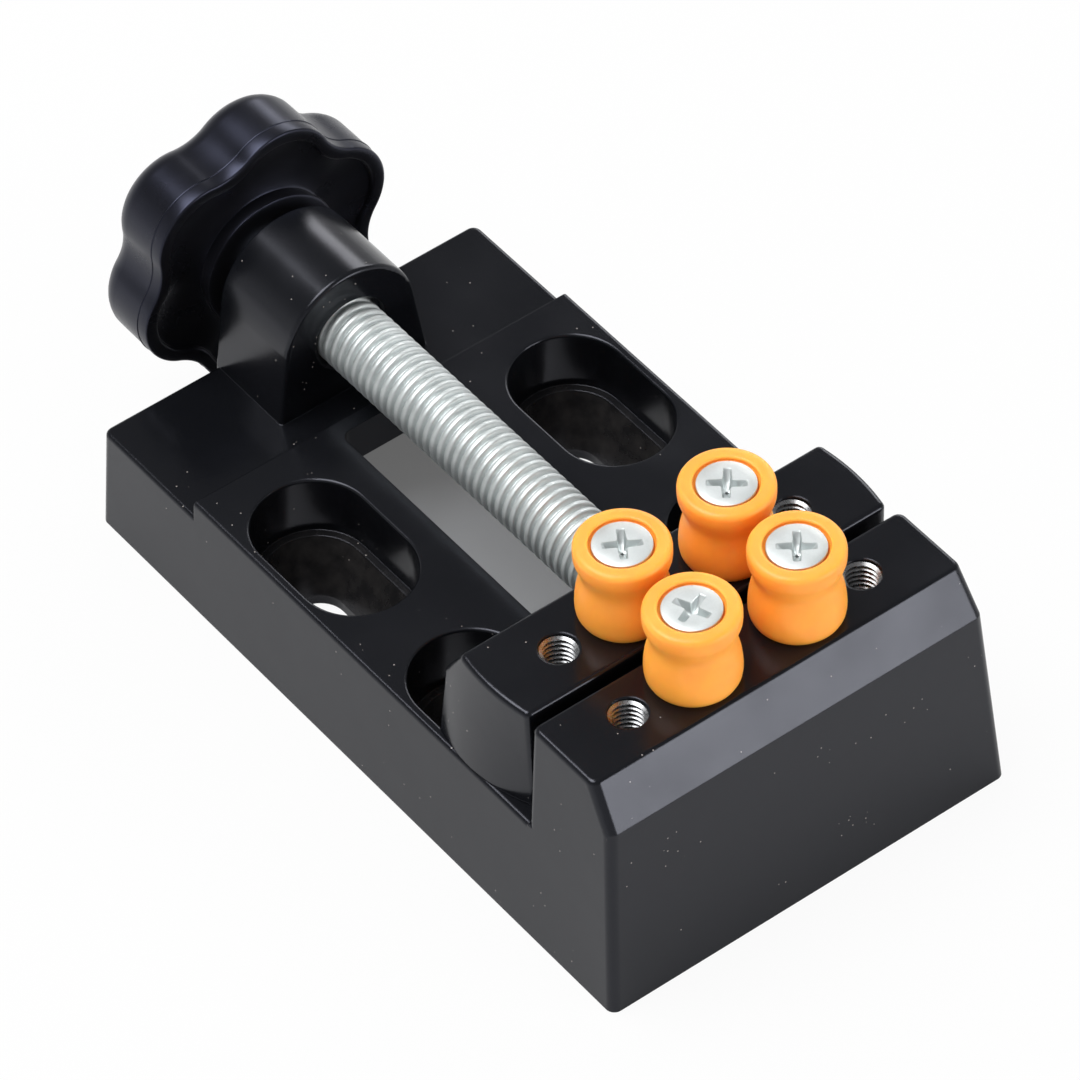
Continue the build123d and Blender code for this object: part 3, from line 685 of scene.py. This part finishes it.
class VISE_OT_pegs(bpy.types.Operator):
    """Moulds the four spool pegs."""

    bl_idname = "vise.pegs"
    bl_label = "Spool Pegs"

    def execute(self, context):
        # Polypropylene: satin, and light enters it a little, so that its shades stay warm
        plastic = moulded_plastic(
            "orange_polypropylene_moulded",
            context.scene.vise_finishes.peg,
            roughness=0.42,
            grain_mm=0.35,
            grain_height=0.012,
            scatter=0.6,
        )
        # Radius and height in millimetres: up the foot, waist and rim, then down the countersink and the bore
        profile = [
            (5.45, 0.0), (5.7, 0.3), (5.94, 0.8), (6.03, 1.4), (6.05, 2.1), (6.0, 3.0),
            (5.88, 4.0), (5.68, 5.0), (5.46, 5.9), (5.32, 6.7), (5.32, 7.2), (5.42, 7.8),
            (5.65, 8.5), (5.92, 9.2), (6.06, 9.7), (6.1, 10.2), (6.1, 11.1), (6.05, 11.4),
            (5.93, 11.62), (5.75, 11.78), (5.5, 11.87), (5.2, 11.9), (4.45, 11.9), (4.28, 11.86),
            (4.17, 11.75), (4.15, 11.6), (4.15, 11.35), (2.65, 9.85), (2.65, 0.0),
        ]
        for node in PEG_TURNS:
            low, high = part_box(node)
            middle_x, middle_y = (low.x + high.x) / 2, (low.y + high.y) / 2
            rings = [
                [(middle_x + x, middle_y + y, low.z + height * MM) for x, y in circle(radius * MM, 96)]
                for radius, height in profile
            ]
            work = bmesh.new()
            lofted(work, rings, closed=True)
            finish_piece(
                node + "_moulded", to_mesh(work, node), plastic, node, (node,), sharp=40
            )
        return {"FINISHED"}


def cross_loop(span, width, lip, height, turn):
    """Outline of a cross recess at one height: arms with rounded corners, turned about the middle."""
    half_span, half_width = span / 2, width / 2
    arm = [
        (half_span - lip, -half_width),
        (half_span - lip * 0.3, -half_width + lip * 0.3),
        (half_span, -half_width + lip),
        (half_span, half_width - lip),
        (half_span - lip * 0.3, half_width - lip * 0.3),
        (half_span - lip, half_width),
        (half_width + lip * 2.2, half_width),
        (half_width + lip * 0.8, half_width + lip * 0.8),
    ]
    points = []
    for quarter in range(4):
        angle = turn + quarter * math.pi / 2
        points += [
            (x * math.cos(angle) - y * math.sin(angle), x * math.sin(angle) + y * math.cos(angle), height)
            for x, y in arm
        ]
    return points


class VISE_OT_peg_screws(bpy.types.Operator):
    """Makes the four countersunk screws with cross recesses and rolled threads."""

    bl_idname = "vise.peg_screws"
    bl_label = "Peg Screws"

    def execute(self, context):
        sizes = context.scene.vise_sizes
        # Pressed and plated: pale heads with a fine even grain
        steel = satin_metal(
            "zinc_plated_steel_headed",
            context.scene.vise_finishes.zinc,
            roughness=0.5,
            marks_mm=(0.3, 0.3, 0.3),
        )
        head = sizes.peg_head / 2
        head_depth = 1.8 * MM
        arm_width, arm_round, recess_depth = 1.0 * MM, 0.16 * MM, 1.9 * MM
        crest, root = 2.45 * MM, 2.02 * MM
        # Shares of the recess's span, arm width and rounding, and the depth in millimetres, down to its point
        levels = [
            (1.0, 1.06, 1.0, 0.0),
            (0.97, 0.98, 1.0, -0.05),
            (0.93, 0.92, 1.0, -0.14),
            (0.62, 0.74, 0.9, -1.25),
            (0.42, 0.6, 0.7, -1.5),
        ]
        thread = [(0.0, 0.0), (0.12, 0.05), (0.42, 0.95), (0.58, 0.95), (0.88, 0.05)]
        for peg, degrees in PEG_TURNS.items():
            node = peg.replace("_peg_", "_peg_screw_")
            low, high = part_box(node)
            top = high.z
            to_hole = Matrix.Translation(((low.x + high.x) / 2, (low.y + high.y) / 2, 0))
            turn = math.radians(degrees)
            work = bmesh.new()
            rings = []
            for span, width, lip, depth in levels:
                level = (sizes.cross_span * span, arm_width * width, arm_round * lip, top + depth * MM)
                rings.append(cross_loop(*level, turn))
            recess = lofted(work, rings)
            point = work.verts.new((0, 0, top - recess_depth))
            lowest = recess[-1]
            for i, vertex in enumerate(lowest):
                work.faces.new((vertex, lowest[(i + 1) % len(lowest)], point))
            # The head's rounded edge, its straight side and its cone
            side = [
                (head - 0.12 * MM, top),
                (head - 0.03 * MM, top - 0.04 * MM),
                (head, top - 0.14 * MM),
                (head, top - 0.4 * MM),
                (crest, top - head_depth),
            ]
            rings = [[(x, y, height) for x, y in circle(radius, 96)] for radius, height in side]
            head_skin = lofted(work, rings)
            edges = [
                work.edges.get((a, b))
                for loop in (recess[0], head_skin[0])
                for a, b in zip(loop, loop[1:] + loop[:1])
            ]
            bmesh.ops.triangle_fill(work, edges=edges, use_beauty=True)
            work.faces.new(head_skin[-1])
            bmesh.ops.transform(work, matrix=to_hole, verts=work.verts)
            shank = bmesh.new()
            helix_thread(shank, low.z, top - head_depth, crest, root, sizes.tap_pitch, thread, around=40)
            bmesh.ops.transform(shank, matrix=to_hole, verts=shank.verts)
            shank_mesh = to_mesh(shank, node + "_shank")
            work.from_mesh(shank_mesh)
            finish_piece(
                node + "_headed", to_mesh(work, node), steel, node, (node,), sharp=30
            )
            bpy.data.meshes.remove(shank_mesh)
        return {"FINISHED"}


class VISE_OT_tapped_holes(bpy.types.Operator):
    """Cuts bright threads into the four open holes of the jaws."""

    bl_idname = "vise.tapped_holes"
    bl_label = "Tapped Holes"

    def execute(self, context):
        pitch = context.scene.vise_sizes.tap_pitch
        # Cut bare metal: smoother than the plated screws, so that its flanks glint in the holes
        bare = satin_metal(
            "bare_aluminium_tapped", hex_linear("#98999B")[:3], roughness=0.28, marks_mm=(0.3, 0.3, 0.3)
        )
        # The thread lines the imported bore, a hair inside its wall
        wall, crest, hair = 2.5 * MM, 2.07 * MM, 0.01 * MM
        jaw_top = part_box("moving_jaw")[1].z
        bottom = jaw_top - 11.9 * MM
        mouth = jaw_top - 0.15 * MM
        turns = int((mouth - bottom) / pitch)
        around = 40
        profile = [(0.0, 0.0), (0.12, 0.02), (0.42, 1.0), (0.58, 1.0), (0.88, 0.02)]
        for mount in frame["record"]["mounts"]:
            if mount["kind"] != "threaded_hole":
                continue
            x, y, _ = mount["pos_m"]
            work = bmesh.new()
            columns = []
            for step in range(around):
                angle = 2 * math.pi * step / around
                column = []
                for turn in range(turns):
                    for share, depth in profile:
                        height = bottom + (turn + share + step / around) * pitch
                        # The crests run out over the last 0.4 of a pitch under the mouth
                        full = max(0.0, min(1.0, 2.5 * (mouth - height) / pitch))
                        radius = (wall - hair) + (crest - wall) * depth * full
                        along, across = radius * math.cos(angle), radius * math.sin(angle)
                        column.append(work.verts.new((x + along, y + across, min(height, mouth))))
                columns.append(column)
            wound_skin(work, columns, len(profile), inward=True)
            mesh = bpy.data.meshes.new(mount["name"])
            work.to_mesh(mesh)
            work.free()
            body = "jaw" if mount["name"].startswith("moving") else "base"
            finish_piece(mount["name"] + "_thread", mesh, bare, body, sharp=30)
        return {"FINISHED"}


def lay_floor(scene):
    """Lays a matt white card under the vise, with a painted shadow under the vise's slot."""
    work = bmesh.new()
    bmesh.ops.create_grid(work, x_segments=8, y_segments=8, size=3.0)
    floor = bpy.data.objects.new("floor", to_mesh(work, "floor"))
    # A hair under the foot, so that no two faces lie in one plane
    floor.location.z = cad_low.z - 0.02 * MM
    scene.collection.objects.link(floor)
    material, tree, place = new_material("white_card_matt")
    # How much of the card shines white: for the camera, and less in the gloss of the object
    path = add_node(tree, "ShaderNodeLightPath")
    shining = 0.0
    for ray, strength in (("Is Camera Ray", 0.93), ("Is Glossy Ray", 0.22), ("Is Transmission Ray", 0.93)):
        part = add_node(tree, "ShaderNodeMath", {0: path.outputs[ray], 1: strength}, operation="MULTIPLY")
        shining = add_node(tree, "ShaderNodeMath", {0: shining, 1: part}, operation="MAXIMUM")
    # Painted shadow: under the slot between the rails the card is painted a darker grey and shines less,
    # standing in for the vise's own shade; an eighth of its glow still shines
    shade = inside_box(tree, place, {"X": (-6.0, 41.0), "Y": (0.0, 11.5)}, 1.0)
    open_card = add_node(tree, "ShaderNodeMath", {0: 1.0, 1: shade}, operation="SUBTRACT")
    bright = add_node(tree, "ShaderNodeMath", {0: shining, 1: open_card}, operation="MULTIPLY")
    painted_shade_glow = add_node(tree, "ShaderNodeMath", {0: 0.12, 1: shade}, operation="MULTIPLY")
    share = add_node(tree, "ShaderNodeMath", {0: bright, 1: painted_shade_glow}, operation="MAXIMUM")
    # Painted shade: the card's colour turns a darker grey under the slot
    card = add_node(
        tree,
        "ShaderNodeMix",
        {"Factor": shade, "A": hex_linear("#C8C8C8"), "B": hex_linear("#909296")},
        data_type="RGBA",
    )
    paper = add_node(tree, "ShaderNodeBsdfDiffuse", {"Color": card})
    glow = add_node(tree, "ShaderNodeEmission", {"Color": hex_linear("#FFFFFF"), "Strength": 1.0})
    surface = add_node(tree, "ShaderNodeMixShader", {0: share, 1: paper, 2: glow})
    # From below the card lets the view through to the vise's foot
    facing = add_node(tree, "ShaderNodeNewGeometry").outputs["Backfacing"]
    clear = add_node(tree, "ShaderNodeBsdfTransparent", {"Color": hex_linear("#FFFFFF")})
    sided = add_node(tree, "ShaderNodeMixShader", {0: facing, 1: surface, 2: clear})
    add_node(tree, "ShaderNodeOutputMaterial", {"Surface": sided})
    floor.data.materials.append(material)


def light_world(scene):
    """Lights the studio all round: bright at the horizon, dimmer overhead and in gloss, white in view."""
    world = bpy.data.worlds.new("studio")
    scene.world = world
    world.use_nodes = True
    tree = world.node_tree
    tree.nodes.clear()
    direction = add_node(tree, "ShaderNodeTexCoord").outputs["Generated"]
    rise = add_node(tree, "ShaderNodeSeparateXYZ", {"Vector": direction}).outputs["Z"]
    shade = add_node(
        tree, "ShaderNodeValToRGB", {"Fac": rise}, stops=[(0.0, 0.9), (0.18, 0.8), (0.5, 0.28), (1.0, 0.3)]
    )
    path = add_node(tree, "ShaderNodeLightPath")
    strength = add_node(
        tree, "ShaderNodeMapRange", {"Value": path.outputs["Is Glossy Ray"], "To Min": 1.8, "To Max": 0.75}
    )
    studio = add_node(tree, "ShaderNodeBackground", {"Color": shade, "Strength": strength})
    white = add_node(tree, "ShaderNodeBackground", {"Color": hex_linear("#FFFFFF"), "Strength": 1.0})
    mixed = add_node(tree, "ShaderNodeMixShader", {0: path.outputs["Is Camera Ray"], 1: studio, 2: white})
    add_node(tree, "ShaderNodeOutputWorld", {"Surface": mixed})


def hang_softbox(scene, name, place, size, watts):
    """Hangs an oblong soft lamp that faces the middle of the vise; place and size are in metres."""
    lamp = bpy.data.lights.new(name, "AREA")
    lamp.shape = "RECTANGLE"
    lamp.size, lamp.size_y = size
    lamp.energy = watts
    holder = bpy.data.objects.new(name, lamp)
    holder.location = place
    aim = Vector((0, 0, 0.02)) - Vector(place)
    holder.rotation_euler = aim.to_track_quat("-Z", "Y").to_euler()
    scene.collection.objects.link(holder)


def place_camera(scene):
    """Places the camera where the photograph was taken."""
    lens = bpy.data.cameras.new("camera")
    camera = bpy.data.objects.new("camera", lens)
    azimuth, elevation, roll = (math.radians(angle) for angle in CAMERA_ANGLES.values())
    back = Vector(
        (
            math.sin(azimuth) * math.cos(elevation),
            -math.cos(azimuth) * math.cos(elevation),
            math.sin(elevation),
        )
    )
    right = Vector((math.cos(azimuth), math.sin(azimuth), 0))
    up = back.cross(right)
    side = right * math.cos(roll) + up * math.sin(roll)
    top = up * math.cos(roll) - right * math.sin(roll)
    turned = Matrix((side, top, back)).transposed().to_4x4()
    target = Vector(CAMERA_TARGET) * MM
    camera.matrix_world = Matrix.Translation(target + back * CAMERA_DISTANCE * MM) @ turned
    lens.sensor_width = SENSOR_MM
    lens.lens = FOCAL_PIXELS / FRAME_PIXELS * SENSOR_MM
    lens.clip_start = 0.05
    lens.clip_end = 20
    scene.collection.objects.link(camera)
    scene.camera = camera


class VISE_OT_stage(bpy.types.Operator):
    """Lays the floor, hangs the lamps and places the camera."""

    bl_idname = "vise.stage"
    bl_label = "Stage"

    def execute(self, context):
        scene = context.scene
        lay_floor(scene)
        light_world(scene)
        hang_softbox(scene, "key_softbox", (-0.2, -0.25, 0.9), (0.7, 0.5), 9)
        hang_softbox(scene, "rim_softbox", (0.95, 0.45, 0.28), (0.5, 0.35), 4.0)
        hang_softbox(scene, "far_softbox", (-0.5, 0.7, 0.45), (0.5, 0.25), 2)
        place_camera(scene)
        scene.view_settings.view_transform = "Standard"
        return {"FINISHED"}


class VISE_PT_panel(bpy.types.Panel):
    """Lists the vise's steps and settings."""

    bl_idname = "VISE_PT_panel"
    bl_label = "Mini Bench Vise"
    bl_space_type = "VIEW_3D"
    bl_region_type = "UI"
    bl_category = "Vise"

    def draw(self, context):
        for step in STEPS:
            self.layout.operator("vise." + step)
        for group in (context.scene.vise_finishes, context.scene.vise_sizes):
            for name in group.bl_rna.properties.keys():
                if name not in ("rna_type", "name"):
                    self.layout.prop(group, name)


STEPS = ("paint_castings", "lead_screw", "star_knob", "pegs", "peg_screws", "tapped_holes", "stage")
CLASSES = (
    ViseFinishes,
    ViseSizes,
    VISE_OT_paint_castings,
    VISE_OT_lead_screw,
    VISE_OT_star_knob,
    VISE_OT_pegs,
    VISE_OT_peg_screws,
    VISE_OT_tapped_holes,
    VISE_OT_stage,
    VISE_PT_panel,
)


def register():
    """Registers the classes and hangs their settings on the scene."""
    for item in CLASSES:
        bpy.utils.register_class(item)
    bpy.types.Scene.vise_finishes = bpy.props.PointerProperty(type=ViseFinishes)
    bpy.types.Scene.vise_sizes = bpy.props.PointerProperty(type=ViseSizes)


def unregister():
    """Takes the settings and the classes away again."""
    del bpy.types.Scene.vise_sizes
    del bpy.types.Scene.vise_finishes
    for item in reversed(CLASSES):
        bpy.utils.unregister_class(item)


def main():
    """Builds the vise step by step."""
    register()
    for step in STEPS:
        getattr(bpy.ops.vise, step)()


if __name__ == "__main__":
    main()
